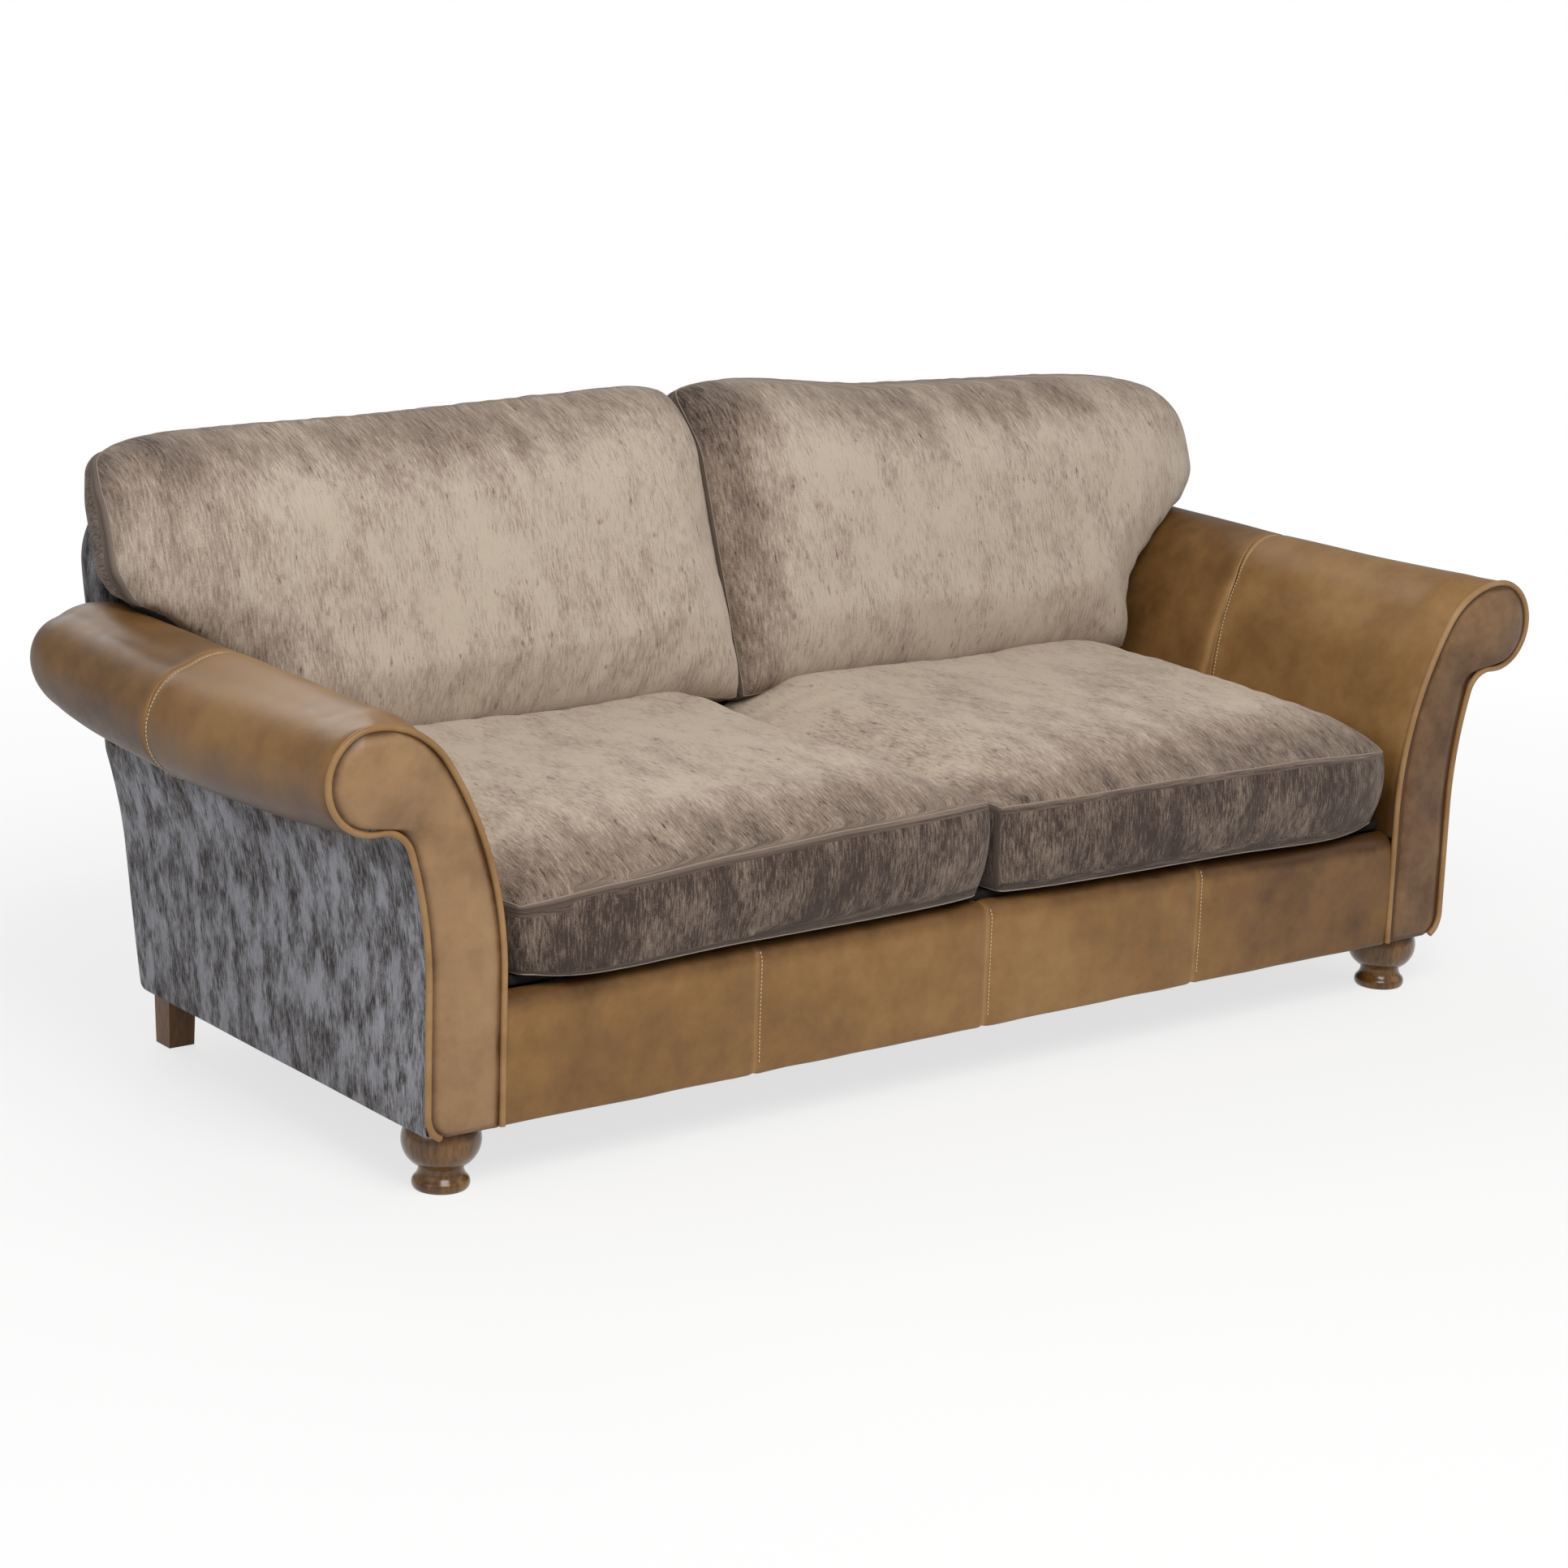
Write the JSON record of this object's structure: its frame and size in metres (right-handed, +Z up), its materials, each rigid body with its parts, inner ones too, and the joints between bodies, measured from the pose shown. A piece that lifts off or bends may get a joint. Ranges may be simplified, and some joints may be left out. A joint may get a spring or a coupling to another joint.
{
  "type": "sofa",
  "caption": "Scroll-arm sofa with leather arms and front border, loose chenille seat and back cushions, turned front feet and square rear legs.",
  "frame": {"origin": "on the floor under the middle of the sofa's box", "axes": "+X along the sofa, to the right of a viewer who faces its front; -Y out of the front; +Z up"},
  "size_m": [2.16, 0.9684, 0.907],
  "materials": {
    "arm_leather": "semi-gloss, waxed",
    "facing_leather": "semi-gloss, waxed",
    "piping_leather": "semi-gloss, waxed",
    "outside_chenille": "mottled pile",
    "seat_chenille": "streaked pile",
    "back_chenille": "streaked pile",
    "wadding": "matt",
    "lining": "matt",
    "foot_wood": "gloss lacquer",
    "leg_wood": "satin lacquer",
    "steel": "bright wire",
    "frame_timber": "bare timber"
  },
  "bodies": {
    "frame": {"arm_cover_front_left": "arm_leather", "arm_cover_front_right": "arm_leather", "arm_cover_rear_left": "arm_leather", "arm_cover_rear_right": "arm_leather", "arm_facing_left": "facing_leather", "arm_facing_right": "facing_leather", "arm_front_board_left": "frame_timber", "arm_front_board_right": "frame_timber", "arm_padding_left": "wadding", "arm_padding_right": "wadding", "arm_piping_left": "piping_leather", "arm_piping_right": "piping_leather", "arm_rear_board_left": "frame_timber", "arm_rear_board_right": "frame_timber", "arm_tack_rail_left": "frame_timber", "arm_tack_rail_right": "frame_timber", "arm_top_rail_left": "frame_timber", "arm_top_rail_right": "frame_timber", "back_centre_post": "frame_timber", "back_cover": "outside_chenille", "back_lower_rail": "frame_timber", "back_post_left": "frame_timber", "back_post_right": "frame_timber", "back_top_rail": "frame_timber", "back_webbing": "lining", "corner_blocks": "frame_timber", "dust_cover": "lining", "foot_bolts": "steel", "front_border": "arm_leather", "front_border_padding": "wadding", "front_foot_left": "foot_wood", "front_foot_right": "foot_wood", "front_rail": "frame_timber", "inside_back_pad": "wadding", "outside_arm_panel_left": "outside_chenille", "outside_arm_panel_right": "outside_chenille", "outside_back_panel": "outside_chenille", "rear_leg_left": "leg_wood", "rear_leg_right": "leg_wood", "rear_rail": "frame_timber", "rear_seat_rail": "frame_timber", "seat_platform": "lining", "seat_springs": "steel", "seat_stretchers": "frame_timber", "side_rail_left": "frame_timber", "side_rail_right": "frame_timber", "spring_clips": "steel", "tee_nuts": "steel"},
    "seat_cushion_left": {"seat_cushion_cover_left": "seat_chenille", "seat_cushion_filling_left": "wadding"},
    "back_cushion_left": {"back_cushion_cover_left": "back_chenille", "back_cushion_filling_left": "wadding"},
    "seat_cushion_right": {"seat_cushion_cover_right": "seat_chenille", "seat_cushion_filling_right": "wadding"},
    "back_cushion_right": {"back_cushion_cover_right": "back_chenille", "back_cushion_filling_right": "wadding"}
  },
  "joints": [
    {"name": "seat_cushion_left_slide", "type": "slide", "parent": "frame", "child": "seat_cushion_left", "axis": [0, -1, 0], "range_m": [0, 0.35]},
    {"name": "back_cushion_left_tip", "type": "hinge", "parent": "frame", "child": "back_cushion_left", "pos_m": [-0.49108, 0.14731, 0.4679], "axis": [1, 0, 0], "range_deg": [0, 45]},
    {"name": "seat_cushion_right_slide", "type": "slide", "parent": "frame", "child": "seat_cushion_right", "axis": [0, -1, 0], "range_m": [0, 0.35]},
    {"name": "back_cushion_right_tip", "type": "hinge", "parent": "frame", "child": "back_cushion_right", "pos_m": [0.49108, 0.14731, 0.4679], "axis": [1, 0, 0], "range_deg": [0, 45]}
  ]
}
